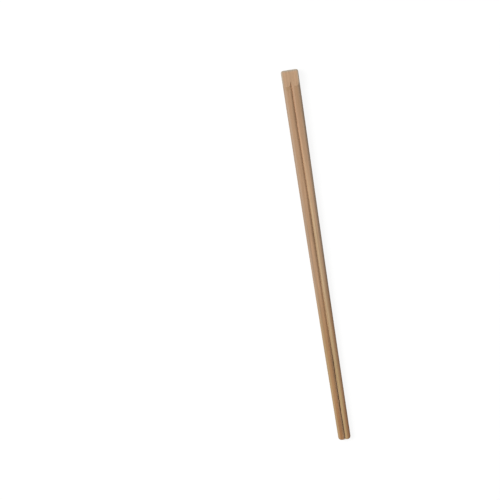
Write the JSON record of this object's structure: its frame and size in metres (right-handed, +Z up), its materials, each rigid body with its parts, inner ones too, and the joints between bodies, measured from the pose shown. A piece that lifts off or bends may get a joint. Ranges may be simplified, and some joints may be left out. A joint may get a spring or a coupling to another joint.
{
  "type": "bamboo chopsticks",
  "caption": "Disposable chopsticks milled from a single bamboo strip: tapering sticks side by side with a groove between them, joined by a square head block and a web that is slit towards the tips, for eating.",
  "frame": {"origin": "middle of the underside of the pair's box, on the surface that the pair lies on", "axes": "+X along the pair towards its head block, +Y across the pair to the left as seen from the tips, +Z up through its thickness"},
  "size_m": [0.23, 0.0108, 0.005],
  "materials": {
    "bamboo": "carbonised bamboo, milled and polished to a satin, with fine lengthwise fibres"
  },
  "bodies": {
    "root": {"twin_chopsticks": "bamboo"}
  },
  "joints": []
}
